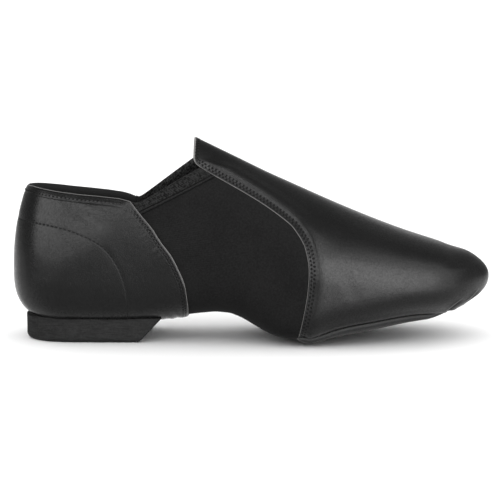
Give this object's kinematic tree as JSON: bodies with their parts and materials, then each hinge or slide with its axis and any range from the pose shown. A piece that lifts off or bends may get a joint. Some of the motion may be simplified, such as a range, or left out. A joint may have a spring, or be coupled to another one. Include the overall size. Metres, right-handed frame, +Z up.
{
  "type": "dance shoe",
  "caption": "Low black slip-on dance shoe for the right foot: leather vamp and heel quarter on a stretch insert, elastic topline, split sole with a ball patch and a low heel.",
  "frame": {"origin": "on the floor, below the middle of the shoe's box", "axes": "+X to the toe, +Z up, -Y the outer side of the right foot"},
  "size_m": [0.2503, 0.0846, 0.1054],
  "materials": {
    "stretch": "matte black stretch knit, lined",
    "vamp_leather": "smooth black leather, soft sheen",
    "quarter_leather": "smooth black leather, soft sheen",
    "elastic": "ribbed black elastic",
    "sole": "matte black",
    "heel": "matte black, fine grain",
    "insole": "matte dark lining"
  },
  "bodies": {
    "root": {"upper": "stretch", "vamp": "vamp_leather", "heel_quarter": "quarter_leather", "binding_outer": "elastic", "binding_inner": "elastic", "forefoot_sole": "sole", "heel": "heel", "insole": "insole"}
  },
  "joints": []
}
